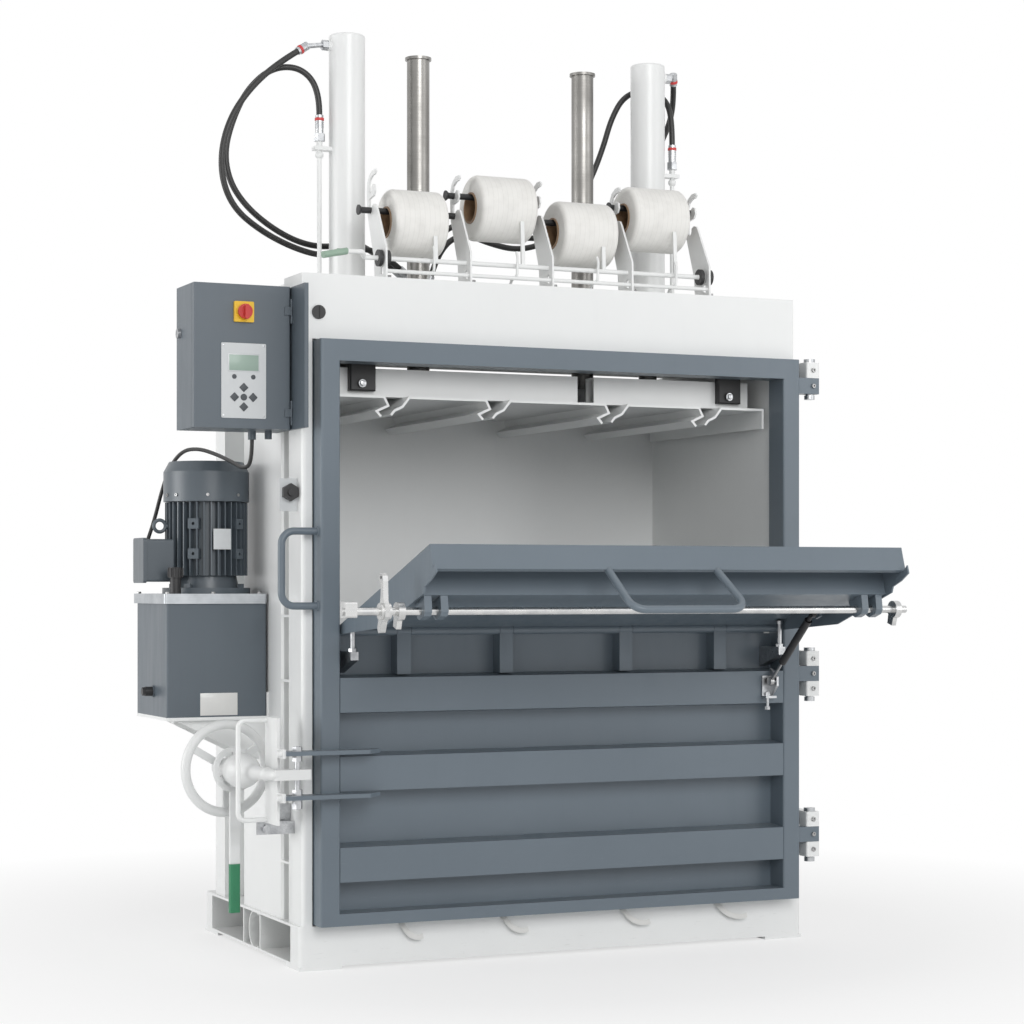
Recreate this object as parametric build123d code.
from build123d import *

import math
import os

# Recycling baler: a vertical press with a swing door, a loading flap and two hydraulic cylinders.
# Millimetres. +X right, +Y to the back, +Z up. The origin is on the floor at the middle of the base.

# Driving dimensions: base and body
base_width = 1412
base_depth = 775
base_height = 108
foot_height = 8
foot_size = 110
fork_skin = 6
fork_front = 68
fork_length_front = 235
fork_web = 141
fork_length_rear = 272
body_inset_left = 7
body_inset_right = 23
chamber_width = 1250
rear_space = 75
wall_sheet = 6
column_depth = 76
header_bottom = 1540
header_height = 160
header_cover_depth = 135
header_sheet = 4
beam_inset = 24
beam_setback = 60
beam_depth = 640
beam_wall = 12

# Driving dimensions: door and flap
door_inset = 36
door_proud = 55
door_depth = 75
door_gap = 4
post_width = 50
rail_height = 52
band_height = 96
skin_recess = 68
skin_sheet = 6
sill_height = 828
hinge_setback = 35
flap_length = 630
flap_open_angle = 72
flap_rim = 50
side_depth = 84
channel_start = 435
channel_width = 100
channel_depth = 80
flap_sheet = 4
strap_inner = 168
strap_outer = 444
pin_line_out = 8
pin_line_proud = 30
latch_along = 501
latch_out = 108
latch_bar_radius = 9

# Driving dimensions: press
press_offset = -7.5
cylinder_spacing = 886
cylinder_outer = 95
cylinder_bore = 80
cylinder_top = 2378
piston_rod_size = 50
guide_spacing = 484
guide_rod_size = 60
guide_rod_top = 2331
platen_top = 1410
platen_sheet = 6
platen_side_gap = 13
beam_gap = 80

# Driving dimensions: strapping
rack_centre = -14
rack_pitch = 228
roll_widths = (142, 156, 156, 162)
roll_shifts = (-4, 9, 11, -7)
roll_radius = 84
core_radius = 40
core_wall = 4
axle_radius = 8
axle_reach = (34, 24, 15, 15)
low_axle = (129, 1883)
high_axle = (132, 1935)
brake_axle = (50, 1753)
brake_radius = 6

# Driving dimensions: power unit and cabinet
tank_width = 260
tank_depth = 277
tank_height = 284
tank_bottom = 609
tank_back_place = 264
motor_radius = 109
cabinet_width = 248
cabinet_height = 349
cabinet_depth = 147
cabinet_bottom = 1320
cabinet_place = 47

# Driving dimensions: lock and hoses
lock_height = 486
wheel_radius = 109
wheel_rim = 12
hose_radius = 8
cable_radius = 5

# Clearances
touch = 0.3
running = 0.05
door_clear = 15

# Derived places
front = -base_depth / 2
body_left = -base_width / 2 + body_inset_left
body_right = base_width / 2 - body_inset_right
chamber_half = chamber_width / 2
chamber_back = front + base_depth - rear_space
door_half = base_width / 2 - door_inset
door_front = front - door_proud
door_rear = door_front + door_depth
door_bottom = base_height + door_gap
door_top = header_bottom - door_gap
aperture_half = door_half - post_width
wall_front = door_rear + door_gap
header_top = header_bottom + header_height
deck = header_top - header_sheet
pin_x = base_width / 2 + pin_line_out
pin_y = front - pin_line_proud
hinge_y = door_front + hinge_setback
strap_places = (-strap_outer, -strap_inner, strap_inner, strap_outer)


# Basic shapes
def block(x0, x1, y0, y1, z0, z1):
    return Pos((x0 + x1) / 2, (y0 + y1) / 2, (z0 + z1) / 2) * Box(x1 - x0, y1 - y0, z1 - z0)


def bar(start, end, radius):
    axis = Vector(*end) - Vector(*start)
    return Solid.make_cylinder(radius, axis.length, Plane(origin=start, z_dir=axis))


def ring(start, end, radius, bore):
    return bar(start, end, radius) - bar(start, end, bore)


def hexagon(start, end, across):
    axis = Vector(*end) - Vector(*start)
    outline = Plane(origin=start, z_dir=axis) * RegularPolygon(across / 2, 6, major_radius=False)
    return extrude(outline, axis.length)


def prism(points, direction, low, high):
    # points are (y, z), (x, z) or (x, y) for a prism along X, Y or Z
    places = {
        "x": [(low, p, q) for p, q in points],
        "y": [(p, low, q) for p, q in points],
        "z": [(p, q, low) for p, q in points],
    }[direction]
    reach = {"x": (1, 0, 0), "y": (0, 1, 0), "z": (0, 0, 1)}[direction]
    face = Face(Wire.make_polygon([Vector(*p) for p in places], close=True))
    return Solid.extrude(face, Vector(*reach) * (high - low))


def folded(points, sheet):
    # outline of a folded sheet: the points and the same points moved to their left by its thickness
    normals = []
    for (x0, y0), (x1, y1) in zip(points, points[1:]):
        length = math.hypot(x1 - x0, y1 - y0)
        normals.append(((y0 - y1) / length, (x1 - x0) / length))
    moved = []
    for i, (x, y) in enumerate(points):
        n = normals[max(i - 1, 0)]
        m = normals[min(i, len(normals) - 1)]
        share = sheet / (1 + n[0] * m[0] + n[1] * m[1])
        moved.append((x + (n[0] + m[0]) * share, y + (n[1] + m[1]) * share))
    return list(points) + moved[::-1]


def join(shapes):
    whole = shapes[0]
    for shape in shapes[1:]:
        before = whole.volume
        whole = whole + shape
        if whole.volume < before:
            raise ValueError("a join lost volume")
    return whole


def tube(points, radius):
    # straight runs joined by tangent arcs as large as the runs allow
    places = [Vector(*p) for p in points]
    runs = [q - p for p, q in zip(places, places[1:])]
    radii = []
    for before, after in zip(runs, runs[1:]):
        turn = math.radians(before.get_angle(after))
        radii.append(0.45 * min(before.length, after.length) / math.tan(turn / 2))
    path = FilletPolyline(*places, radius=radii)
    section = Plane(origin=places[0], z_dir=runs[0]) * Circle(radius)
    return sweep(section, path), radii, path.length


def bent_bar(points, radius, bend):
    path = FilletPolyline(*[Vector(*p) for p in points], radius=bend)
    start = Vector(*points[0])
    section = Plane(origin=start, z_dir=Vector(*points[1]) - start) * Circle(radius)
    return sweep(section, path)


# Base and body
def base_frame():
    shell = block(-base_width / 2, base_width / 2, front, front + base_depth, foot_height, base_height)
    upright = shell.edges().filter_by(Axis.Z)
    shell = fillet(upright, 14)
    low = foot_height + fork_skin
    high = base_height - fork_skin
    first = front + fork_front
    second = first + fork_length_front + fork_web
    reach = base_width / 2 + 1
    shell = shell - block(-reach, reach, first, first + fork_length_front, low, high)
    shell = shell - block(-reach, reach, second, second + fork_length_rear, low, high)
    web = first + fork_length_front
    shell = shell - block(-reach, reach, web + fork_skin, web + fork_web - fork_skin, low, high)
    middle = web + fork_web * 0.58
    half = (high - low) / 2
    sag = 26
    arc_radius = (half * half + sag * sag) / (2 * sag)
    centre_y = middle - arc_radius + sag / 2
    centre_z = (low + high) / 2
    inner = Plane.YZ * Pos(centre_y, centre_z) * (Circle(arc_radius) - Circle(arc_radius - 4))
    window = Plane.YZ * Pos(middle, centre_z) * Rectangle(fork_web - 2 * fork_skin - 4, high - low)
    bent_web = extrude(inner & window, base_width / 2, both=True)
    feet = []
    for x in (-1, 1):
        for y in (-1, 1):
            fx = x * (base_width - foot_size) / 2
            fy = y * (base_depth - foot_size) / 2
            feet.append(Pos(fx, fy, foot_height / 2) * Box(foot_size, foot_size, foot_height))
    return join([shell, bent_web] + feet)


def chamber_floor():
    plate = block(-chamber_half, chamber_half, wall_front, chamber_back, base_height, base_height + 22)
    for x in strap_places:
        groove = block(x - 12, x + 12, wall_front - 1, chamber_back + 1, base_height + 6, base_height + 23)
        plate = plate - groove
    return plate


def column_tube(x0, x1, y0, y1):
    outer = block(x0, x1, y0, y1, base_height, header_bottom)
    inner = block(
        x0 + wall_sheet, x1 - wall_sheet, y0 + wall_sheet, y1 - wall_sheet, base_height, header_bottom
    )
    return outer - inner


def side_wall(side, outer):
    skin_x = side * (chamber_half + wall_sheet)
    skin = sorted((side * chamber_half, skin_x))
    wall = block(skin[0], skin[1], wall_front, chamber_back, base_height, header_bottom)
    low, high = sorted((skin_x, outer))
    column_back = wall_front + column_depth
    shapes = [wall, column_tube(low, high, wall_front, column_back)]
    shapes.append(column_tube(low, high, chamber_back - column_depth, chamber_back))
    panel_low, panel_high = sorted((skin_x, outer - side * 2))
    panel = column_tube(panel_low, panel_high, column_back + 60, column_back + 370)
    rim = panel.edges().filter_by(Axis.Z).group_by(Axis.X)[0 if side < 0 else -1].sort_by(Axis.Y)
    shapes.append(chamfer([rim[0], rim[-1]], wall_sheet))
    for z in (250, 700, 860):
        shapes.append(block(low, high, column_back, column_back + 60, z, z + wall_sheet))
    return join(shapes)


def left_wall():
    lip = block(body_left, -door_half - 3, front, wall_front, base_height, header_bottom)
    edge = lip.edges().filter_by(Axis.Z).group_by(Axis.X)[0].sort_by(Axis.Y)[0]
    return side_wall(-1, body_left) + fillet([edge], 10)


def right_wall():
    return join([side_wall(1, body_right)] + body_hinges())


def rear_wall():
    back = chamber_back + wall_sheet
    sheet = block(body_left, body_right, chamber_back, back, base_height, header_bottom)
    ribs = []
    depth = rear_space - wall_sheet - 15
    for x in (-1, 0, 1):
        centre = x * chamber_half * 0.72
        rib = folded(
            [(centre - 70, back), (centre - 45, back + depth), (centre + 45, back + depth),
             (centre + 70, back)],
            -wall_sheet,
        )
        ribs.append(prism(rib, "z", base_height, header_bottom))
    for z in (base_height + 250, header_bottom - 420):
        ribs.append(block(body_left + 60, body_right - 60, back, back + 40, z, z + 80))
    return join([sheet] + ribs)


def header_cover():
    left = body_left
    right = body_right
    back = front + header_cover_depth
    outline = folded([(left, back), (left, front), (right, front), (right, back)], header_sheet)
    sides = prism(outline, "z", header_bottom, header_top)
    top = block(left, right, front, back, header_top - header_sheet, header_top)
    cover = sides + top
    corner = cover.edges().filter_by(Axis.Z).group_by(Axis.Y)[0]
    cover = fillet(corner, 3)
    return cover - bar(cover_lock_place(0), cover_lock_place(header_sheet + 1), cover_lock_radius)


cover_lock_radius = 14


def cover_lock_place(depth):
    return (body_left + 42, front + depth, header_bottom + 65)


def cover_lock():
    head = bar(cover_lock_place(-5), cover_lock_place(-touch), cover_lock_radius + 3)
    x, y, z = cover_lock_place(0)
    slot = block(x - 2, x + 2, y - 6, y - 3, z - 20, z + 20)
    stem = bar(cover_lock_place(-touch), cover_lock_place(header_sheet + 6), cover_lock_radius - running)
    cam = block(x - 8, x + 24, y + header_sheet + 6, y + header_sheet + 10, z - 8, z + 8)
    return (head - slot) + stem + cam


def cylinder_places():
    return [(side * cylinder_spacing / 2, press_offset) for side in (-1, 1)]


def guide_places():
    return [(side * guide_spacing / 2, press_offset) for side in (-1, 1)]


bush_wall = 14


def press_beam():
    left = body_left + beam_inset
    right = body_right - beam_inset
    y0 = front + beam_setback
    y1 = front + beam_depth
    beam = block(left, right, y0, y1, header_bottom, deck)
    inside = block(
        left + beam_wall, right - beam_wall, y0 + beam_wall, y1 - beam_wall,
        header_bottom + beam_wall, deck - beam_wall,
    )
    beam = beam - inside
    for x, y in cylinder_places():
        beam = beam - bar((x, y, header_bottom - 1), (x, y, deck + 1), cylinder_outer / 2)
    for x, y in guide_places():
        outer = guide_rod_size / 2 + bush_wall
        beam = beam + bar((x, y, header_bottom), (x, y, deck + 28), outer)
        beam = beam + bar((x, y, deck), (x, y, deck + 14), outer + 16)
        beam = beam - bar((x, y, header_bottom - 1), (x, y, deck + 40), guide_rod_size / 2 + running)
    return beam


def hydraulic_cylinders():
    cylinders = []
    for side, (x, y) in zip((-1, 1), cylinder_places()):
        outer = cylinder_outer / 2
        low = header_bottom - 10
        barrel = bar((x, y, low), (x, y, cylinder_top), outer)
        barrel = barrel + bar((x, y, deck), (x, y, deck + 14), outer + 18)
        boss = bar((x, y, port_height), (x + side * (outer + 6), y, port_height), 14)
        barrel = barrel + boss
        bore = bar((x, y, low + 45), (x, y, cylinder_top - 22), cylinder_bore / 2)
        gland = bar((x, y, low - 1), (x, y, low + 46), piston_rod_size / 2 + running)
        cap_edge = barrel.edges().filter_by(GeomType.CIRCLE).sort_by(Axis.Z)[-1]
        cylinders.append(fillet([cap_edge], 5) - bore - gland)
    return cylinders


port_height = cylinder_top - 30
pipe_radius = 6
pipe_offset = 29
pipe_top = 2072


def pipe_line(side, x):
    return x + side * (cylinder_outer / 2 + pipe_offset)


def oil_pipes():
    pipes = []
    for side, (x, y) in zip((-1, 1), cylinder_places()):
        px = pipe_line(side, x)
        pipe = bar((px, y, deck), (px, y, pipe_top), pipe_radius)
        bulb = Pos(px, y, pipe_top - 12) * Sphere(11)
        plate = block(*sorted((x, px + side * 16)), y - 14, y + 14, pipe_top, pipe_top + 10)
        plate = plate - bar((x, y, pipe_top - 5), (x, y, pipe_top + 15), cylinder_outer / 2)
        stub = bar((px, y, pipe_top), (px, y, pipe_top + 24), 8)
        base = bar((px, y, deck), (px, y, deck + 12), 9)
        pipes.append(join([pipe, bulb, plate, stub, base]))
    return pipes


block_left = -250
block_right = -130
block_front = 440
block_back = 540
block_height = 60


def valve_block():
    y0 = front + block_front
    y1 = front + block_back
    body = block(block_left, block_right, y0, y1, deck, deck + block_height)
    body = chamfer(body.edges().group_by(Axis.Z)[-1], 3)
    coils = []
    for x in (block_left + 32, block_right - 32):
        coil = block(x - 18, x + 18, y1, y1 + 52, deck + 12, deck + 48)
        coils.append(fillet(coil.edges().filter_by(Axis.Y), 6))
        coils.append(bar((x, y1 + 52, deck + 30), (x, y1 + 66, deck + 30), 9))
    return join([body] + coils)


# Hoses: each route is a list of (x, distance behind the front plane, z)
left_upper_route = [
    (-580, 380, 2325), (-655, 376, 2276), (-744, 372, 2176), (-784, 374, 2080), (-786, 380, 1985),
    (-750, 388, 1908), (-672, 401, 1856), (-575, 423, 1820), (-480, 449, 1806), (-400, 463, 1838),
    (-318, 463, 1831), (-262, 463, 1788),
]
left_lower_route = [
    (-519.5, 380, 2164), (-519.5, 380, 2232), (-566, 392, 2288), (-640, 408, 2284), (-704, 416, 2224),
    (-742, 420, 2144), (-764, 423, 2058), (-748, 427, 1980), (-698, 433, 1918), (-622, 443, 1868),
    (-540, 458, 1838), (-458, 482, 1836), (-384, 499, 1860), (-317, 499, 1831), (-262, 499, 1788),
]
right_lower_route = [
    (519.5, 380, 2164), (519.5, 380, 2232), (514, 402, 2294), (480, 446, 2330), (416, 466, 2312),
    (377, 472, 2246), (350, 474, 2155), (308, 476, 2055), (252, 477, 1958), (182, 480, 1886),
    (95, 482, 1860), (8, 482, 1874), (-68, 482, 1900), (-139, 482, 1853), (-164, 482, 1775),
]
right_upper_route = [
    (534, 400, 2336), (552, 432, 2282), (545, 462, 2216), (510, 482, 2140), (458, 494, 2052),
    (380, 501, 1974), (288, 506, 1924), (196, 509, 1902), (104, 511, 1900), (12, 513, 1912),
    (-70, 515, 1934), (-142, 516, 1880), (-166, 516, 1798),
]
# the cable is drawn from the middle of the motor and its base to the cabinet's underside
motor_cable_route = [
    (-142, 59, 82), (-142, 102, 82), (-120, 143, 122), (-94, 153, 190), (-76, 151, 262),
    (-60, 131, 328), (-40, 79, 370), (-18, 7, 372), (3, -73, 354), (18, -153, 332),
    (28, -223, 310), (33, -275, 322), (33, -275, 380),
]


def placed(route):
    # the routes are drawn for a press of these sizes and follow the real one
    wide = cylinder_spacing / 886
    high = (cylinder_top - deck) / 682
    return [(x * wide, press_offset + b - 380, deck + (z - 1696) * high) for x, b, z in route]


def cable_points():
    high = (cabinet_bottom - motor_base) / 402
    return [(motor_x + x, motor_y + y, motor_base + z * high) for x, y, z in motor_cable_route]


def hose(name, points, radius):
    solid, radii, length = tube(points, radius)
    share = solid.volume / (math.pi * radius * radius * length)
    print(name, "length", round(length), "radii", [round(r) for r in radii], "volume", round(share, 4))
    return solid


def hose_fittings():
    fittings = []
    for side, (x, y) in zip((-1, 1), cylinder_places()):
        px = pipe_line(side, x)
        nut = hexagon((px, y, pipe_top + 24), (px, y, pipe_top + 44), 26)
        ferrule = bar((px, y, pipe_top + 44), (px, y, left_lower_route[0][2]), hose_radius + 2.5)
        fittings.append(nut + ferrule)
    fittings.append(port_fitting(-1, left_upper_route))
    fittings.append(port_fitting(1, right_upper_route))
    for route in (left_upper_route, left_lower_route, right_lower_route, right_upper_route):
        end = Vector(*placed(route)[-1])
        way = (end - Vector(*placed(route)[-2])).normalized()
        drop = (end.Z - deck - block_height) / -way.Z
        foot = end + way * (drop + 10)
        stem = bar(tuple(end + way * 24), tuple(foot), 7)
        ferrule = bar(tuple(end), tuple(end + way * 26), hose_radius + 2.5)
        whole = ferrule + stem
        cut = block(-600, 600, front, front + 700, deck, deck + block_height)
        nut_at = foot.X
        nut = bar((nut_at, end.Y, deck + block_height), (nut_at, end.Y, deck + block_height + 8), 12)
        fittings.append((whole - cut) + nut)
    return fittings


def port_fitting(side, route):
    x, y = cylinder_places()[0 if side < 0 else 1]
    face = x + side * (cylinder_outer / 2 + 6)
    nut = hexagon((face, y, port_height), (face + side * 16, y, port_height), 24)
    end = Vector(*placed(route)[0])
    way = (Vector(*placed(route)[1]) - end).normalized()
    ferrule = bar(tuple(end - way * 34), tuple(end), hose_radius + 2.5)
    knee = end - way * 30
    start = Vector(face + side * 15, y, port_height)
    stem = bar(tuple(start), tuple(knee), 6.5)
    return join([nut, stem, Pos(*knee) * Sphere(7.5), ferrule])


# Power unit
tank_right = body_left - 3
tank_left = tank_right - tank_width
tank_front = front + tank_back_place
tank_top = tank_bottom + tank_height
lid_height = 25
motor_x = tank_right - 116
motor_y = tank_front + 139
motor_base = tank_top + lid_height


def oil_tank():
    y1 = tank_front + tank_depth
    body = block(tank_left, tank_right, tank_front, y1, tank_bottom, tank_top)
    body = fillet(body.edges().filter_by(Axis.Z), 5)
    body = body - block(
        tank_left + 4, tank_right - 4, tank_front + 4, y1 - 4, tank_bottom + 4, tank_top + 1
    )
    knob_y = tank_front + 120
    knob = bar((tank_left - 4, knob_y, tank_bottom + 62), (tank_left + 2, knob_y, tank_bottom + 62), 15)
    return body + knob


def tank_caps():
    return [drain_knob(), filler_cap()]


def drain_knob():
    y = tank_front + 120
    z = tank_bottom + 62
    return bar((tank_left - 22, y, z), (tank_left - 4, y, z), 12) + hexagon(
        (tank_left - 30, y, z), (tank_left - 22, y, z), 18
    )


def tank_lid():
    y1 = tank_front + tank_depth
    lid = block(tank_left - 8, tank_right, tank_front - 6, y1 + 6, tank_top, motor_base)
    lid = fillet(lid.edges().filter_by(Axis.Z), 6)
    lid = lid - bar((motor_x, motor_y, tank_top - 1), (motor_x, motor_y, motor_base + 1), 30)
    return lid


def filler_cap():
    x = tank_left + 34
    y = tank_front + 40
    neck = bar((x, y, motor_base), (x, y, motor_base + 40), 14)
    cap = bar((x, y, motor_base + 40), (x, y, motor_base + 66), 18)
    grips = [
        bar(
            (x + 18 * math.cos(a), y + 18 * math.sin(a), motor_base + 42),
            (x + 18 * math.cos(a), y + 18 * math.sin(a), motor_base + 64), 2.5,
        )
        for a in [math.tau * i / 10 for i in range(10)]
    ]
    return join([neck, cap] + grips)


def tank_shelf():
    y1 = tank_front + tank_depth
    panel = body_left + 2
    shelf = block(tank_left, panel, tank_front, y1, tank_bottom - 8, tank_bottom)
    shapes = [shelf, block(tank_right, panel, tank_front, y1, tank_bottom, tank_bottom + 60)]
    for y in (tank_front + 20, y1 - 110):
        gusset = [
            (tank_left + 30, tank_bottom - 8), (panel, tank_bottom - 8), (panel, tank_bottom - 110),
            (panel - 30, tank_bottom - 110),
        ]
        shapes.append(prism(gusset, "y", y, y + 6))
    for x in (tank_left + 40, tank_left + 110):
        shapes.append(
            hexagon((x, tank_front + 70, tank_bottom - 18), (x, tank_front + 70, tank_bottom - 8), 16)
        )
    return join(shapes)


def gear_pump():
    body = bar((motor_x, motor_y, tank_bottom + 130), (motor_x, motor_y, tank_top), 45)
    body = body - bar((motor_x, motor_y, tank_bottom + 170), (motor_x, motor_y, tank_top + 1), 26)
    suction = bar((motor_x - 28, motor_y, tank_bottom + 20), (motor_x - 28, motor_y, tank_bottom + 131), 12)
    strainer = bar((motor_x - 28, motor_y, tank_bottom + 12), (motor_x - 28, motor_y, tank_bottom + 40), 24)
    return join([body, suction, strainer])


shaft_radius = 12
fin_bottom = motor_base + 46
fin_top = fin_bottom + 188
cowl_top = fin_top + 102
fin_count = 36


def motor_housing():
    shapes = [bar((motor_x, motor_y, motor_base), (motor_x, motor_y, motor_base + 15), 112)]
    bell = Solid.make_cone(84, 76, 34, Plane(origin=(motor_x, motor_y, motor_base + 13)))
    shapes.append(bell)
    core = motor_radius - 24
    shapes.append(bar((motor_x, motor_y, fin_bottom), (motor_x, motor_y, fin_top), core))
    for i in range(fin_count):
        turn = 360 * i / fin_count
        fin = block(core - 2, motor_radius - 4, -1.6, 1.6, fin_bottom, fin_top - 2)
        shapes.append(Pos(motor_x, motor_y, 0) * Rot(0, 0, turn) * fin)
    for turn in (-125, -55):
        for z in (fin_bottom + 42, fin_bottom + 118):
            pad = block(core - 2, motor_radius - 2, -14, 14, z, z + 26)
            pad = pad - bar((core + 10, 0, z + 13), (motor_radius, 0, z + 13), 4)
            shapes.append(Pos(motor_x, motor_y, 0) * Rot(0, 0, turn) * pad)
    for turn in (45, 135, 225, 315):
        bolt = hexagon((98, 0, motor_base + 15), (98, 0, motor_base + 25), 17)
        shapes.append(Pos(motor_x, motor_y, 0) * Rot(0, 0, turn) * bolt)
    body = join(shapes)
    bore = bar((motor_x, motor_y, motor_base - 1), (motor_x, motor_y, fin_top + 1), shaft_radius + running)
    rotor = bar((motor_x, motor_y, fin_bottom + 20), (motor_x, motor_y, fin_top - 20), 50)
    eye = bar((motor_x - motor_radius, motor_y, fin_top - 62), (motor_x - core, motor_y, fin_top - 62), 8)
    torus = Pos(motor_x - motor_radius - 14, motor_y, fin_top - 62) * Rot(90, 0, 0) * Torus(15, 4.5)
    return (body - bore - rotor) + eye + torus


def motor_rotor():
    shaft = bar((motor_x, motor_y, tank_bottom + 180), (motor_x, motor_y, cowl_top - 40), shaft_radius)
    armature = bar((motor_x, motor_y, fin_bottom + 24), (motor_x, motor_y, fin_top - 24), 46)
    hub = bar((motor_x, motor_y, fin_top + 12), (motor_x, motor_y, fin_top + 52), 26)
    shapes = [shaft, armature, hub]
    for i in range(6):
        blade = block(20, motor_radius - 16, -1.5, 1.5, fin_top + 14, fin_top + 48)
        shapes.append(Pos(motor_x, motor_y, 0) * Rot(0, 0, 60 * i) * blade)
    return join(shapes)


def fan_cowl():
    height = cowl_top - fin_top
    profile = [
        (motor_radius, 0), (motor_radius, height - 26), (motor_radius - 14, height), (0, height),
        (0, height - 3), (motor_radius - 16, height - 3), (motor_radius - 3, height - 28),
        (motor_radius - 3, 0),
    ]
    face = Face(Wire.make_polygon([Vector(r, 0, z) for r, z in profile], close=True))
    cowl = revolve(face, Axis.Z)
    for i in range(12):
        slot = block(32, 84, -3.2, 3.2, height - 4, height + 1)
        cowl = cowl - Rot(0, 0, 30 * i) * slot
    spigot = Solid.make_cylinder(motor_radius - 3, 4, Plane(origin=(0, 0, 0)))
    spigot = spigot - Solid.make_cylinder(motor_radius - 30, 5, Plane(origin=(0, 0, -0.5)))
    return Pos(motor_x, motor_y, fin_top) * (cowl + spigot)


box_depth = 90


def terminal_box():
    x0 = motor_x - motor_radius - 71
    x1 = motor_x - motor_radius + 8
    y0 = motor_y - 50
    z0 = motor_base + 30
    case = block(x0 + 10, x1, y0, y0 + box_depth, z0, z0 + 108)
    lid = block(x0, x0 + 9, y0 - 3, y0 + box_depth + 3, z0 - 3, z0 + 111)
    whole = fillet(case.edges().filter_by(Axis.X), 6) + fillet(lid.edges().filter_by(Axis.X), 8)
    whole = whole + block(x0 + 8, x0 + 12, y0 + 4, y0 + box_depth - 4, z0 + 4, z0 + 104)
    core = bar((motor_x, motor_y, z0 - 20), (motor_x, motor_y, z0 + 130), motor_radius - 1)
    start = cable_points()[0]
    gland = hexagon((start[0], y0 + box_depth - 2, start[2]), (start[0], start[1], start[2]), 22)
    return (whole - core) + gland


# Control cabinet
cabinet_right = body_left - 10
cabinet_left = cabinet_right - cabinet_width
cabinet_front = front + cabinet_place
cabinet_back = cabinet_front + cabinet_depth
cabinet_top = cabinet_bottom + cabinet_height
cabinet_door_depth = 19
cabinet_pin_x = cabinet_right - 2.5
cabinet_pin_y = cabinet_front - 3
cabinet_hinge_spots = (cabinet_bottom + 30, cabinet_top - 70)


def control_cabinet():
    y0 = cabinet_front + cabinet_door_depth + 1
    case = block(cabinet_left, cabinet_right, y0, cabinet_back, cabinet_bottom, cabinet_top)
    case = case - block(
        cabinet_left + 3, cabinet_right - 3, y0 - 1, cabinet_back - 3, cabinet_bottom + 3, cabinet_top - 3
    )
    plate = block(cabinet_right, body_left, front - cabinet_place, cabinet_back, cabinet_bottom, cabinet_top)
    end = cable_points()[-1]
    gland = bar(end, (end[0], end[1], cabinet_bottom + 1), 10)
    other = bar((end[0] + 42, end[1], cabinet_bottom - 20), (end[0] + 42, end[1], cabinet_bottom + 1), 9)
    rail = block(cabinet_left + 24, cabinet_right - 24, cabinet_back - 12, cabinet_back - 2, 1440, 1475)
    case = join([case, plate, gland, other, rail] + cabinet_hinges())
    lock_x, lock_y, lock_z = cabinet_lock_place()
    return case - bar((lock_x - 5, lock_y, lock_z), (lock_x + 5, lock_y, lock_z), 7)


def cabinet_lock_place():
    return (cabinet_left, cabinet_front + 118, cabinet_bottom + 235)


def cabinet_lock():
    x, y, z = cabinet_lock_place()
    head = bar((x - 8, y, z), (x - touch, y, z), 12)
    slot = block(x - 9, x - 5, y - 1.5, y + 1.5, z - 14, z + 14)
    stem = bar((x - touch, y, z), (x + 12, y, z), 7 - running)
    cam = block(x + 8, x + 12, y - 8, y + 8, z - 24, z + 6)
    return (head - slot) + stem + cam


def cabinet_door():
    y1 = cabinet_front + cabinet_door_depth
    right = cabinet_right - 5
    panel = block(cabinet_left, right, cabinet_front, y1, cabinet_bottom, cabinet_top)
    panel = fillet(panel.edges().filter_by(Axis.Z).group_by(Axis.Y)[0], 2)
    panel = panel - block(
        cabinet_left + 3, right - 3, cabinet_front + 3, y1 + 1, cabinet_bottom + 3, cabinet_top - 3
    )
    knuckles = []
    for z in cabinet_hinge_spots:
        x, y = cabinet_pin_x, cabinet_pin_y
        knuckles.append(bar((x, y, z + 0.5), (x, y, z + 19.5), 2.2))
        low, high = z + 0.5, z + 19.5
        knuckles.append(block(right - 14, cabinet_pin_x, cabinet_pin_y - 1, cabinet_front, low, high))
    x, z = switch_place()
    hole = bar((x, cabinet_front - 1, z), (x, cabinet_front + 5, z), 8)
    return join([panel] + knuckles) - hole


def cabinet_hinges():
    halves = []
    for z in cabinet_hinge_spots:
        for z0, z1 in ((z - 20, z), (z + 20, z + 40)):
            knuckle = bar((cabinet_pin_x, cabinet_pin_y, z0), (cabinet_pin_x, cabinet_pin_y, z1), 2.2)
            leaf = block(cabinet_pin_x, cabinet_right, cabinet_pin_y - 1, cabinet_pin_y + 1, z0, z1)
            halves.append(knuckle + leaf)
    return halves


def switch_place():
    return (cabinet_left + 124, cabinet_bottom + 282)


def switch_plate():
    x, z = switch_place()
    y = cabinet_front
    plate = block(x - 25, x + 25, y - 7, y, z - 25, z + 25)
    plate = fillet(plate.edges().filter_by(Axis.Y), 3)
    collar = bar((x, y - 11, z), (x, y - 6, z), 20)
    return (plate + collar) - bar((x, y - 12, z), (x, y + 1, z), 8)


def switch_knob():
    x, z = switch_place()
    y = cabinet_front
    disc = bar((x, y - 19, z), (x, y - 11 - touch, z), 18)
    grip = block(x - 5, x + 5, y - 33, y - 18, z - 20, z + 16)
    grip = fillet(grip.edges().filter_by(Axis.Y), 4)
    stem = bar((x, y - 12, z), (x, y + 10, z), 8 - running)
    return join([disc, grip, stem])


def keypad_panel():
    x0 = cabinet_left + 68
    z0 = cabinet_bottom + 24
    panel = block(x0, x0 + 113, cabinet_front - 2, cabinet_front, z0, z0 + 182)
    return fillet(panel.edges().filter_by(Axis.Y), 3)


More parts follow.
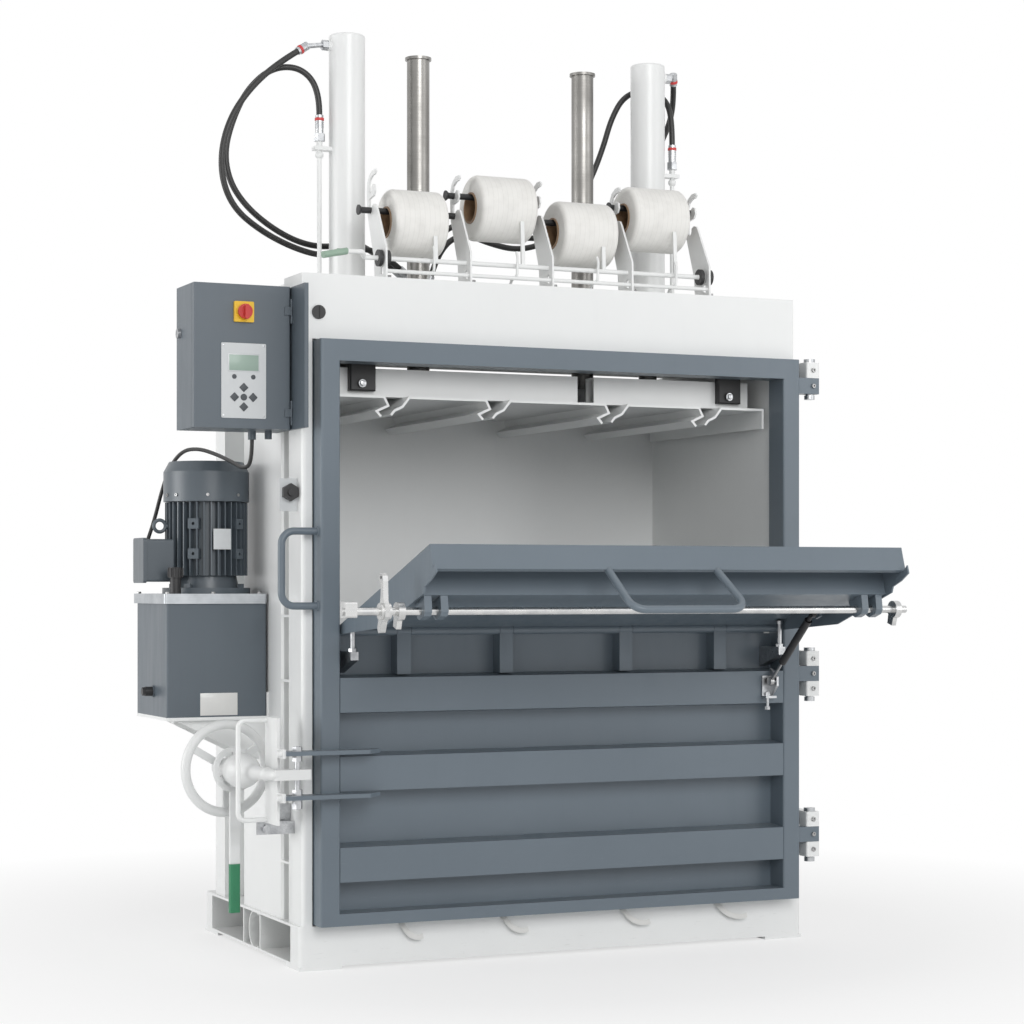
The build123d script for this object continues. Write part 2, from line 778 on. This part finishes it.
def door_switch():
    z = 1120
    x0 = body_left - 44
    y = front + 40
    plate = prism(folded([(x0, y), (body_left, y), (body_left, y + 50)], -4), "z", z, z + 80)
    plate = plate - block(body_left, body_left + 9, y - 9, y + 60, z - 1, z + 81)
    knob = hexagon((x0 + 24, y - 18, z + 46), (x0 + 24, y, z + 46), 38)
    return [plate, knob + bar((x0 + 24, y - 24, z + 46), (x0 + 24, y - 17, z + 46), 9)]


# Strapping
plate_places = [rack_centre + rack_pitch * i for i in (-2, -1, 0, 1, 2)]
plate_half = 2.5


def hook_plate():
    # one leaning plate with two seats for the axles, (distance behind the front plane, z)
    low_y, low_z = low_axle
    high_y, high_z = high_axle
    slot = axle_radius + 1
    outline = [
        (22, header_top), (100, header_top), (106, header_top + 60), (low_y + 22, low_z - 8),
        (low_y + 24, low_z + 14), (high_y + 24, high_z), (high_y + 20, high_z + 22),
        (high_y + 8, high_z + 38), (high_y - 12, high_z + 48), (high_y - 32, high_z + 49),
        (high_y - 38, high_z + 42), (high_y - 32, high_z + 36), (high_y - 14, high_z + 34),
        (high_y + 2, high_z + 26), (high_y + slot, high_z + 12), (high_y + slot, high_z),
        (high_y - slot, high_z), (high_y - slot, high_z + 8), (high_y - 18, high_z + 13),
        (high_y - 29, high_z + 8), (high_y - 32, high_z - 6), (high_y - 24, high_z - 17),
        (low_y + slot, high_z - 22), (low_y + slot, low_z), (low_y - slot, low_z),
        (low_y - slot, low_z + 9), (low_y - 22, low_z + 14), (low_y - 36, low_z + 10),
        (low_y - 46, low_z - 4), (24, header_top + 78),
    ]
    plate = prism([(front + y, z) for y, z in outline], "x", -plate_half, plate_half)
    for y, z in (low_axle, high_axle):
        plate = plate - bar((-4, front + y, z), (4, front + y, z), axle_radius + touch)
    y, z = front + brake_axle[0], brake_axle[1]
    plate = plate - bar((-4, y, z), (4, y, z), brake_radius + running)
    window = [(40, header_top + 12), (62, header_top + 16), (58, header_top + 32), (44, header_top + 38)]
    return plate - prism([(front + y, z) for y, z in window], "x", -4, 4)


def strap_rack():
    shapes = []
    for x in plate_places:
        shapes.append(Pos(x, 0, 0) * hook_plate())
        shapes.append(block(x - plate_half, x + 24, front + 30, front + 94, header_top, header_top + 4))
    rail_y = front + 33
    rail_z = header_top + 20
    shapes.append(bar((plate_places[0], rail_y, rail_z), (plate_places[-1], rail_y, rail_z), 5))
    for x in plate_places[:-1]:
        # wire hoops that keep the strap on its way down
        middle = x + rack_pitch / 2 + 14
        shapes.append(
            bent_bar(
                [(middle, front + 74, header_top), (middle, front + 60, header_top + 18),
                 (middle, front + 26, header_top + 26), (middle, front + 22, header_top + 72),
                 (middle, front + 30, header_top + 86)],
                3.5, 9,
            )
        )
    under = block(plate_places[0] - 20, plate_places[-1] + 40, front, front + 120, header_top - 20, header_top)
    return join(shapes) - under


def brake_shaft():
    y = front + brake_axle[0]
    z = brake_axle[1]
    left = plate_places[0]
    right = plate_places[-1]
    shapes = [bar((left - 28, y, z), (right + 22, y, z), brake_radius)]
    for x in (left - 14, left + 6, right - 20, right + 6):
        shapes.append(bar((x, y, z), (x + 9, y, z), 21))
    for i in range(4):
        # a flat finger that leans on each roll
        rx, ry, rz = roll_place(i)
        reach = rz - z - 38
        back = ry - math.sqrt(roll_radius**2 - 38**2) - y - 1.5
        finger = [(y - 5, z - 2), (y + 3, z - 2), (y + back, z + reach), (y + back - 3, z + reach)]
        shapes.append(prism(finger, "x", rx + 27, rx + 37))
    arm = bent_bar(
        [(left - 28, y, z), (left - 50, y, z), (left - 62, y - 22, z + 10), (left - 130, y - 26, z + 8)],
        6, 9,
    )
    grip = bar((left - 104, y - 25, z + 9), (left - 172, y - 40, z - 6), 8.5)
    return join(shapes + [arm, grip])


def axle_place(i):
    return low_axle if i % 2 == 0 else high_axle


def roll_place(i):
    # each roll hangs on its axle by the inside of its core
    b, z = axle_place(i)
    drop = core_radius - core_wall - axle_radius - touch
    return plate_places[i] + rack_pitch / 2 + roll_shifts[i], front + b, z - drop


def roll_axles():
    axles = []
    for i, reach in enumerate(axle_reach):
        b, z = axle_place(i)
        y = front + b
        left = plate_places[i] - plate_half - reach
        right = plate_places[i + 1] + plate_half + 6
        knob = bar((left, y, z), (left + 3, y, z), 13) + Solid.make_cone(
            13, axle_radius, 6, Plane(origin=(left + 3, y, z), z_dir=(1, 0, 0))
        )
        axles.append(bar((left + 2, y, z), (right, y, z), axle_radius) + knob)
    return axles


def strap_roll(i):
    x, y, z = roll_place(i)
    half = roll_widths[i] / 2
    wound = bar((x - half, y, z), (x + half, y, z), roll_radius)
    wound = fillet(wound.edges().filter_by(GeomType.CIRCLE), 14)
    core = bar((x - half - 3, y, z), (x + half + 3, y, z), core_radius)
    return (wound + core) - bar((x - 100, y, z), (x + 100, y, z), core_radius - core_wall)


# Main door
def door_frame():
    top_low = door_top - rail_height
    outer = block(-door_half, door_half, door_front, door_rear, door_bottom, door_top)
    hole = block(-aperture_half, aperture_half, door_front - 1, door_rear + 1, door_bottom + 30, top_low)
    frame = outer - hole
    rounded = frame.edges().filter_by(Axis.Z).group_by(Axis.Y)[0]
    return join([fillet(rounded, 6), door_handle()] + door_hinges())


slot_places = (-420, -140, 140, 420)
panel_top = sill_height - 16
band_bottoms = (212, 433, 624)


def door_panel():
    # the skin with its three bands, folded forward like shallow boxes
    y0 = door_front + skin_recess
    back = y0 + skin_sheet
    low = door_bottom + 30
    points = [(y0, low)]
    for z in band_bottoms:
        points += [(y0, z), (door_front + 2, z + 6)]
        points += [(door_front + 2, z + band_height - 6), (y0, z + band_height)]
    points += [(y0, panel_top)]
    outline = folded(points, -skin_sheet)
    clean = [(min(y, back), z) for y, z in outline]
    panel = prism(clean, "x", -aperture_half, aperture_half)
    eyes = []
    for x in strap_places:
        low_z = band_bottoms[-1] + band_height
        web = block(x - 18, x + 18, hinge_y - 8, y0, low_z, sill_height)
        knuckle = bar((x - 18, hinge_y, sill_height), (x + 18, hinge_y, sill_height), 12)
        eyes.append(web + knuckle)
    panel = join([panel] + eyes)
    for z in band_bottoms:
        for x in slot_places:
            # weld slots where each band meets the skin
            panel = panel - block(x - 42, x + 42, y0 - 9, y0 - 1, z + band_height - 8, z + band_height + 1)
            panel = panel - block(x - 42, x + 42, y0 - 9, y0 - 1, z - 1, z + 8)
    pin_hole = bar((-door_half, hinge_y, sill_height), (door_half, hinge_y, sill_height), flap_pin_radius)
    return panel - pin_hole


flap_pin_radius = 6


def flap_pin():
    reach = aperture_half - 2
    return bar((-reach, hinge_y, sill_height), (reach, hinge_y, sill_height), flap_pin_radius)


def door_handle():
    x = -door_half
    y = front - 30
    points = [(x, y, 889), (x - 92, y, 889), (x - 92, y, 1070), (x, y, 1070)]
    return bent_bar(points, 9, 32)


stop_x = aperture_half - 24
stop_head = 9
gas_x = aperture_half - 52


def flap_point(along, outward, turn=0):
    # place of a point of the flap: along it from the hinge, and outward from its hinge plane
    angle = math.radians(flap_open_angle - turn)
    y = hinge_y - along * math.sin(angle) - outward * math.cos(angle)
    z = sill_height + along * math.cos(angle) - outward * math.sin(angle)
    return y, z


def stop_bolts():
    # the open flap rests on these two screws
    bolts = []
    for side in (-1, 1):
        x = side * stop_x
        y, under = flap_point(58, flap_sheet - 8)
        low = band_bottoms[-1] + band_height + 4
        bracket = prism(
            [(door_front + skin_recess, low), (y - 14, low + 34), (y - 14, low + 54),
             (door_front + skin_recess, low + 54)],
            "x", x - 10, x + 10,
        )
        top = under - stop_head / math.tan(math.radians(flap_open_angle)) - 0.5
        bolt = bar((x, y, low + 54), (x, y, top - 7), 6)
        head = bar((x, y, top - 8), (x, y, top), stop_head)
        nut = hexagon((x, y, low + 54), (x, y, low + 62), 18)
        bolts.append(join([bracket, bolt, head, nut]))
    return bolts


flap_half = aperture_half - 4
handle_reach = 70


def flap_panel():
    back = -8
    inner = back + flap_sheet
    skin = flap_prism([(14, back), (flap_length, back), (flap_length, inner), (14, inner)],
                      -flap_half, flap_half)
    shapes = [skin]
    rim = [
        (14, back), (flap_length, back), (flap_length, flap_rim), (flap_length + 14, flap_rim - 8),
        (flap_length + 14, flap_rim + 12), (flap_length - 22, side_depth - 14),
        (flap_length - 60, side_depth - 12), (flap_length - 70, side_depth), (300, side_depth), (20, 14),
        (14, 4),
    ]
    for side in (-1, 1):
        x0, x1 = sorted((side * flap_half, side * (flap_half - flap_sheet)))
        shapes.append(flap_prism(rim, x0, x1))
    end = [(flap_length - flap_sheet, back), (flap_length, back), (flap_length, flap_rim),
           (flap_length - flap_sheet, flap_rim)]
    shapes.append(flap_prism(end, -flap_half, flap_half))
    lip = [(flap_length - 18, flap_rim - flap_sheet), (flap_length, flap_rim - flap_sheet),
           (flap_length, flap_rim), (flap_length - 18, flap_rim)]
    shapes.append(flap_prism(lip, -flap_half, flap_half))
    channel = folded(
        [(channel_start, back + 2), (channel_start, channel_depth),
         (channel_start + channel_width, channel_depth), (channel_start + channel_width, back + 2)],
        -flap_sheet,
    )
    shapes.append(flap_prism(channel, -flap_half, flap_half))
    bounds = [-flap_half] + [v for x in strap_places for v in (x - 19, x + 19)] + [flap_half]
    for x0, x1 in zip(bounds[::2], bounds[1::2]):
        y, z = flap_point(0, 0)
        shapes.append(bar((x0, y, z), (x1, y, z), 12))
        arm = [(0, back), (15, back), (15, back + flap_sheet), (0, back + flap_sheet)]
        shapes.append(flap_prism(arm, x0, x1))
    for side in (-1, 1):
        # bearings that carry the latch bar
        for centre in (flap_half - 22, flap_half - 62):
            x0, x1 = sorted((side * centre - 9, side * centre + 9))
            block_outline = [
                (latch_along - 30, channel_depth - 1), (latch_along + 30, channel_depth - 1),
                (latch_along + 24, latch_out + 8), (latch_along + 14, latch_out + 16),
                (latch_along - 14, latch_out + 16), (latch_along - 24, latch_out + 8),
            ]
            shapes.append(flap_prism(block_outline, x0, x1))
    shapes.append(gas_lug())
    shapes.append(flap_handle())
    flap = join(shapes)
    y, z = flap_point(0, 0)
    flap = flap - bar((-door_half, y, z), (door_half, y, z), flap_pin_radius + running)
    y, z = flap_point(latch_along, latch_out)
    return flap - bar((-door_half, y, z), (door_half, y, z), latch_bar_radius + running)


def flap_prism(points, x0, x1):
    return prism([flap_point(u, w) for u, w in points], "x", x0, x1)


gas_along = 265.7
gas_out = 44
gas_pin = 5


def gas_lug():
    # the side plate and ball stud that carry the gas spring's upper end
    plate = flap_prism(
        [(gas_along - 26, -6), (gas_along + 26, -6), (gas_along + 12, gas_out + 12),
         (gas_along - 12, gas_out + 12)],
        gas_x + 12, gas_x + 18,
    )
    y, z = flap_point(gas_along, gas_out)
    return plate + bar((gas_x + 5 + touch * 2, y, z), (gas_x + 12, y, z), gas_pin)


def gas_anchor():
    return door_front - 22, sill_height - 140


def gas_bracket():
    # slotted bracket on the door with the lower ball stud
    y, z = gas_anchor()
    x0 = gas_x + 11
    plate = prism(
        [(y - 12, z - 12), (y - 12, z + 12), (door_front + 2, z + 34), (door_front + 2, z - 44)],
        "x", x0, x0 + 6
    )
    flange = block(x0 - 26, x0 + 6, door_front - 4, door_front + 2, z - 44, z + 14)
    stud = bar((gas_x + 5 + touch * 2, y, z), (x0, y, z), gas_pin)
    screw = hexagon((x0 - 12, door_front - 9, z - 34), (x0 - 12, door_front - 4, z - 34), 12)
    adjuster = bar((x0 - 16, y + 8, z - 70), (x0 - 16, y + 8, z - 40), 4)
    adjuster = adjuster + hexagon((x0 - 16, y + 8, z - 74), (x0 - 16, y + 8, z - 66), 13)
    shelf = block(x0 - 26, x0 + 6, y - 2, door_front + 2, z - 44, z - 38)
    return join([plate, flange, stud, screw, adjuster, shelf])


def door_fittings():
    return stop_bolts() + [gas_bracket()]


def gas_line():
    low = Vector(gas_x, *gas_anchor())
    high = Vector(gas_x, *flap_point(gas_along, gas_out))
    return low, high, (high - low).normalized()


gas_tube_length = 170


def gas_cylinder():
    low, high, way = gas_line()
    eye = bar((gas_x - 5, high.Y, high.Z), (gas_x + 5, high.Y, high.Z), 11)
    eye = eye - bar((gas_x, high.Y, high.Z), (gas_x + 6, high.Y, high.Z), gas_pin + 0.6)
    neck = bar(tuple(high - way * 9), tuple(high - way * 30), 6)
    start = high - way * 28
    end = high - way * (28 + gas_tube_length)
    body = bar(tuple(start), tuple(end), 10)
    bore = bar(tuple(start - way * 6), tuple(end - way), gas_rod_radius + running)
    return join([eye, neck, body]) - bore


gas_rod_radius = 4


def gas_rod():
    low, high, way = gas_line()
    eye = bar((gas_x - 5, low.Y, low.Z), (gas_x + 5, low.Y, low.Z), 11)
    eye = eye - bar((gas_x, low.Y, low.Z), (gas_x + 6, low.Y, low.Z), gas_pin + 0.6)
    rod = bar(tuple(low + way * 9), tuple(high - way * 36), gas_rod_radius)
    return eye + rod


def flap_handle():
    points = []
    for x, u, w in (
        (-182, flap_length - 6, flap_rim), (-172, flap_length + handle_reach, latch_out + 60),
        (122, flap_length + handle_reach, latch_out + 60), (100, flap_length - 6, flap_rim),
    ):
        y, z = flap_point(u, w)
        points.append((x, y, z))
    whole = bent_bar(points, 9, 34)
    cut = flap_prism(
        [(0, -20), (flap_length + 1, -20), (flap_length + 1, flap_rim), (0, flap_rim)], -300, 300
    )
    return whole - cut


def latch_bar():
    y, z = flap_point(latch_along, latch_out)
    left = -door_half - 122
    right = door_half + 14
    rod = bar((left, y, z), (right, y, z), latch_bar_radius)
    clamp = block(left + 4, left + 32, y - 16, y + 16, z - 14, z + 22)
    clamp = fillet(clamp.edges().filter_by(Axis.X), 4)
    hub_x = -door_half - 20
    hub = bar((hub_x - 12, y, z), (hub_x + 12, y, z), 19)
    outline = [
        (-8, 68), (-6, 80), (4, 86), (16, 82), (18, 72), (10, 66), (7, 50), (11, 22), (24, 8), (22, -18),
        (29, -38), (22, -49), (8, -47), (-3, -24), (-20, -12), (-22, 10), (-10, 24),
    ]
    lever = prism([(y + dy, z + dz) for dy, dz in outline], "x", hub_x - 6, hub_x + 6)
    lever = lever - bar((hub_x - 7, y + 5, z + 76), (hub_x + 7, y + 5, z + 76), 4)
    shapes = [rod, clamp, hub, lever]
    for side in (-1, 1):
        x = side * (door_half - 16)
        cam = bar((x - 8, y, z), (x + 8, y, z), 21)
        hook = prism([(y - 18, z - 4), (y + 18, z - 4), (y + 24, z - 34), (y + 4, z - 40), (y - 2, z - 22)],
                     "x", x - 6, x + 6)
        shapes += [cam, hook]
    return join(shapes)


# Door hinges
hinge_heights = ((1447, 1531, "two"), (646, 765, "three"), (220, 339, "three"))
hinge_block_half = 20
hinge_pin_radius = 11


def hinge_levels():
    # (low, high, is it on the door) for every knuckle
    levels = []
    for low, high, kind in hinge_heights:
        if kind == "two":
            middle = (low + high) / 2
            levels.append((low, middle - touch / 2, True))
            levels.append((middle + touch / 2, high, False))
        else:
            third = (high - low) / 3
            levels.append((low, low + third - touch, False))
            levels.append((low + third, high - third, True))
            levels.append((high - third + touch, high, False))
    return levels


def knuckle(low, high, bore):
    half = hinge_block_half
    body = block(pin_x - half, pin_x + half, pin_y - half, pin_y + half, low, high)
    body = fillet(body.edges().filter_by(Axis.Z), 5)
    return body, bar((pin_x, pin_y, low - 1), (pin_x, pin_y, high + 1), bore)


def body_hinges():
    blocks = []
    for low, high, on_door in hinge_levels():
        if on_door:
            continue
        body, hole = knuckle(low, high, hinge_pin_radius)
        back_arm = block(pin_x - 12, pin_x + hinge_block_half, pin_y, front + 70, low, high)
        foot = block(body_right, pin_x + hinge_block_half, front + 30, front + 70, low, high)
        blocks.append((join([body, back_arm, foot]) - hole))
    return blocks


def door_hinges():
    blocks = []
    for low, high, on_door in hinge_levels():
        if on_door:
            body, hole = knuckle(low, high, hinge_pin_radius + running)
            arm = block(door_half, pin_x, pin_y - hinge_block_half, pin_y + hinge_block_half, low, high)
            blocks.append((body + arm) - hole)
    return blocks


def hinge_pins():
    pins = []
    for low, high, kind in hinge_heights:
        pin = bar((pin_x, pin_y, low - 12), (pin_x, pin_y, high + 6), hinge_pin_radius)
        cap = bar((pin_x, pin_y, high + touch), (pin_x, pin_y, high + 9), hinge_pin_radius + 4)
        nut = bar((pin_x, pin_y, low - 14), (pin_x, pin_y, low - 3), hinge_pin_radius + 3)
        pins.append(join([pin, cap, nut]))
    return pins


# Door lock
lug_levels = (lock_height - 60, lock_height + 46)
lug_sheet = 10
pivot_x = -base_width / 2 - 33
pivot_y = front - 80
lug_end = pivot_x - 34
arm_bar_half = 12.5
lock_pin_radius = 7


def lock_lugs():
    lugs = []
    for z in lug_levels:
        outline = [
            (lug_end, pivot_y - 22), (-door_half + 110, pivot_y - 22), (-door_half + 150, door_front - 8),
            (-door_half + 150, door_front), (-door_half - 24, door_front), (-door_half - 24, pivot_y + 26),
            (lug_end, pivot_y + 26),
        ]
        lug = prism(outline, "z", z, z + lug_sheet)
        lugs.append(lug - bar((pivot_x, pivot_y, z - 1), (pivot_x, pivot_y, z + 11), lock_pin_radius))
    return lugs


def lock_screws():
    low = lug_levels[0]
    high = lug_levels[1] + lug_sheet
    pin = bar((pivot_x, pivot_y, low - 24), (pivot_x, pivot_y, high + 12), lock_pin_radius)
    head = hexagon((pivot_x, pivot_y, high), (pivot_x, pivot_y, high + 10), 22)
    nut = hexagon((pivot_x, pivot_y, low - 22), (pivot_x, pivot_y, low - 10), 22)
    washer = bar((pivot_x, pivot_y, low - 10), (pivot_x, pivot_y, low), 12)
    collars = [
        hexagon((pivot_x, pivot_y, lug_levels[1] - 14), (pivot_x, pivot_y, lug_levels[1]), 22),
        hexagon((pivot_x, pivot_y, low + lug_sheet), (pivot_x, pivot_y, low + lug_sheet + 14), 22),
    ]
    return join([pin, head, nut, washer] + collars)


guard_low = 362
guard_high = 620


def guard_loop():
    # hand guard: a flat plate screwed to the lugs' ends, with a bent bar
    x1 = lug_end
    x0 = x1 - 6
    y0 = pivot_y + 30
    y1 = y0 + 92
    step = pivot_y - 16
    lower, upper = [(z - 6, z + lug_sheet + 6) for z in lug_levels]
    outline = [
        (y1, guard_low), (y1, guard_high), (y0, guard_high), (y0, upper[1]), (step, upper[1]),
        (step, upper[0]), (y0, upper[0]), (y0, lower[1]), (step, lower[1]), (step, lower[0]),
        (y0, lower[0]), (y0, guard_low),
    ]
    plate = prism(outline, "x", x0, x1)
    screws = [
        bar((x0 - 11, pivot_y + 2, z + 5), (x0 + 2, pivot_y + 2, z + 5), 8.5) for z in lug_levels
    ]
    y = y1 - 10
    loop = bent_bar(
        [(x0 + 2, y, guard_low + 8), (x0 - 72, y, guard_low + 8), (x0 - 72, y, guard_high - 8),
         (x0 + 2, y, guard_high - 8)],
        6, 18,
    )
    return join([plate, loop] + screws)


arm_start = Vector(pivot_x - 56, pivot_y, lock_height)
arm_way = Vector(-41, 280, 0).normalized()


def along_arm(distance):
    return tuple(arm_start + arm_way * distance)


def lock_arm():
    low = lock_height - arm_bar_half
    high = lock_height + arm_bar_half
    flat = block(pivot_x - 60, pivot_x + 32, pivot_y - 13, pivot_y + 13, low, high)
    flat = fillet(flat.edges().filter_by(Axis.Z), 3)
    flat = flat - bar((pivot_x, pivot_y, low - 1), (pivot_x, pivot_y, high + 1), lock_pin_radius + running)
    # turned casting: a rounded nose, a slim neck and a bell, drawn as radius against distance
    nose = [(0, -14), (8, -11), (12.5, 0), (14, 20), (17, 44)]
    bell = [
        (17, 44), (14.5, 54), (15, 72), (17, 96), (20, 114), (27, 128), (35, 144), (42, 164), (43.5, 182),
        (38, 194),
    ]
    edges = [
        Edge.make_spline([Vector(r, 0, d) for r, d in nose]),
        Edge.make_spline([Vector(r, 0, d) for r, d in bell]),
    ]
    corners = [(38, 194), (38, 212), (11, 212), (11, 300), (0, 300), (0, -14)]
    for (r0, d0), (r1, d1) in zip(corners, corners[1:]):
        edges.append(Edge.make_line(Vector(r0, 0, d0), Vector(r1, 0, d1)))
    casting = Solid.revolve(Face(Wire(edges)), 360, Axis.Z)
    return flat + arm_frame(0) * casting


def ratchet_lever():
    collar = ring(along_arm(214), along_arm(230), 30, 11 + running)
    outer = ring(along_arm(216), along_arm(226), 56, 44)
    shapes = [collar, outer]
    for turn in (90, 210, 330):
        spoke = block(20, 50, -6, 6, 2, 10)
        shapes.append(arm_frame(214) * Rot(0, 0, turn) * spoke)
    lever = block(48, 346, -13, 13, 2, 10)
    shapes.append(arm_frame(214) * Rot(0, 0, 270) * lever)
    grip = block(232, 352, -14, 14, -3, 15)
    grip = fillet(grip.edges().filter_by(Axis.X), 7)
    shapes.append(arm_frame(214) * Rot(0, 0, 270) * grip)
    return join(shapes)


def arm_frame(distance):
    # local Z along the spindle, local -Y down
    side = Vector(0, 0, 1).cross(arm_way)
    return Plane(origin=along_arm(distance), x_dir=side, z_dir=arm_way).location


def handwheel():
    shapes = [
        ring(along_arm(236), along_arm(300), 24, 11 + running),
        arm_frame(268) * Torus(wheel_radius, wheel_rim),
    ]
    for turn in (30, 150, 270):
        spoke = block(18, wheel_radius - 4, -9, 9, -5, 5)
        shapes.append(arm_frame(268) * Rot(0, 0, turn) * spoke)
    nut = ring(along_arm(300), along_arm(310), 16, 11 + running)
    shapes.append(nut)
    return join(shapes)


def lock_bars():
    y = front + 55
    lower = block(body_left - 96, body_left, y, y + 8, 331, 362)
    upper = block(body_left - 46, body_left, y + 30, y + 38, 331, 402)
    web = block(body_left - 46, body_left, y + 8, y + 30, 331, 339)
    bolt = hexagon((body_left - 76, y - 10, 346), (body_left - 76, y, 346), 17)
    return join([lower, upper, web, bolt])


# Press
def platen_profile():
    # sheet with hooked slots for the straps; each gap is a pair of bent edges
    left_edge = [(-26, 0), (-13, -26), (-43, -40), (-34, -50)]
    right_edge = [(-12, -46), (-2, -34), (19, -24), (38, 0)]
    half = chamber_half - platen_side_gap
    starts = [[(-half, -53), (-half, 0)]] + [[(x + dx, dz) for dx, dz in right_edge] for x in strap_places]
    ends = [[(x + dx, dz) for dx, dz in left_edge] for x in strap_places] + [[(half, 0), (half, -53)]]
    return [[(x, platen_top + z) for x, z in start + end] for start, end in zip(starts, ends)]


def platen():
    y0 = door_rear + door_clear
    y1 = chamber_back - 20
    shapes = []
    for line in platen_profile():
        shapes.append(prism(folded(line, -platen_sheet), "y", y0, y1))
    half = chamber_half - 40
    for y in (y0 + 40, y1 - 90):
        beam = block(-half, half, y, y + 50, platen_top, platen_top + 70)
        beam = beam - block(-half - 1, half + 1, y + 6, y + 44, platen_top + 6, platen_top + 64)
        shapes.append(beam - block(beam_gap, beam_gap + 47, y - 1, y + 51, platen_top + 1, platen_top + 71))
    middle = block(-half, half, press_offset - 60, press_offset + 60, platen_top, platen_top + 60)
    low, high = press_offset - 50, press_offset + 50
    hollow = block(-half - 1, half + 1, low, high, platen_top + 10, platen_top + 50)
    shapes.append(middle - hollow)
    for x in (-half + 90, half - 90):
        shapes.append(block(x - 5, x + 5, y0 + 40, y1 - 40, platen_top, platen_top + 50))
    return join(shapes)


press_seat = platen_top + 60


def guide_rods():
    rods = []
    for x, y in guide_places():
        rod = bar((x, y, press_seat), (x, y, guide_rod_top), guide_rod_size / 2)
        cap = bar((x, y, guide_rod_top), (x, y, guide_rod_top + 7), guide_rod_size / 2 + 5)
        rods.append(rod + cap + hexagon((x, y, guide_rod_top + 6), (x, y, guide_rod_top + 12), 18))
    return rods


def piston_rods():
    rods = []
    for x, y in cylinder_places():
        rod = bar((x, y, press_seat), (x, y, cylinder_top - 110), piston_rod_size / 2)
        piston = bar((x, y, cylinder_top - 111), (x, y, cylinder_top - 60), cylinder_bore / 2 - running)
        rods.append(rod + piston)
    return rods


def guide_shoes():
    shoes = []
    y = door_rear + door_clear + 40
    for side in (-1, 1):
        x = side * (chamber_half - 105)
        shoe = block(x - 34, x + 34, y - 20, y, platen_top + 12, platen_top + 82)
        shoe = chamfer(shoe.edges().group_by(Axis.Y)[0], 3)
        bolt = bar((x - 4, y - 26, platen_top + 30), (x - 4, y - 19, platen_top + 30), 8)
        shoes.append(shoe + bolt)
    return shoes


# One STEP file for each node
def solids_of(shape):
    shapes = shape if isinstance(shape, list) else [shape]
    return [solid for item in shapes for solid in item.solids()]


def write(name, shape):
    solids = solids_of(shape)
    export_step(solids[0] if len(solids) == 1 else Compound(solids), "parts/" + name + ".step")


os.makedirs("parts", exist_ok=True)
nodes = {
    "base_frame": base_frame, "chamber_floor": chamber_floor, "left_wall": left_wall,
    "right_wall": right_wall, "rear_wall": rear_wall, "header_cover": header_cover,
    "cover_lock": cover_lock, "press_beam": press_beam,
    "hydraulic_cylinders": hydraulic_cylinders, "oil_pipes": oil_pipes, "valve_block": valve_block,
    "hose_fittings": hose_fittings, "oil_tank": oil_tank, "tank_lid": tank_lid,
    "tank_caps": tank_caps, "tank_shelf": tank_shelf, "gear_pump": gear_pump,
    "motor_housing": motor_housing, "motor_rotor": motor_rotor, "fan_cowl": fan_cowl,
    "terminal_box": terminal_box, "control_cabinet": control_cabinet, "cabinet_lock": cabinet_lock,
    "cabinet_door": cabinet_door, "switch_plate": switch_plate,
    "switch_knob": switch_knob, "keypad_panel": keypad_panel, "door_switch": door_switch,
    "strap_rack": strap_rack, "brake_shaft": brake_shaft, "roll_axles": roll_axles,
    "door_frame": door_frame, "door_panel": door_panel, "flap_pin": flap_pin,
    "door_fittings": door_fittings, "flap_panel": flap_panel, "latch_bar": latch_bar,
    "gas_cylinder": gas_cylinder, "gas_rod": gas_rod, "hinge_pins": hinge_pins, "lock_lugs": lock_lugs,
    "lock_screws": lock_screws, "guard_loop": guard_loop, "lock_arm": lock_arm,
    "ratchet_lever": ratchet_lever, "handwheel": handwheel, "lock_bars": lock_bars,
    "platen": platen, "guide_rods": guide_rods, "piston_rods": piston_rods,
    "guide_shoes": guide_shoes,
}
for name, make in nodes.items():
    write(name, make())
for i in range(4):
    write("strap_roll_" + str(i + 1), strap_roll(i))
write("left_upper_hose", hose("left_upper_hose", placed(left_upper_route), hose_radius))
write("left_lower_hose", hose("left_lower_hose", placed(left_lower_route), hose_radius))
write("right_upper_hose", hose("right_upper_hose", placed(right_upper_route), hose_radius))
write("right_lower_hose", hose("right_lower_hose", placed(right_lower_route), hose_radius))
write("motor_cable", hose("motor_cable", cable_points(), cable_radius))
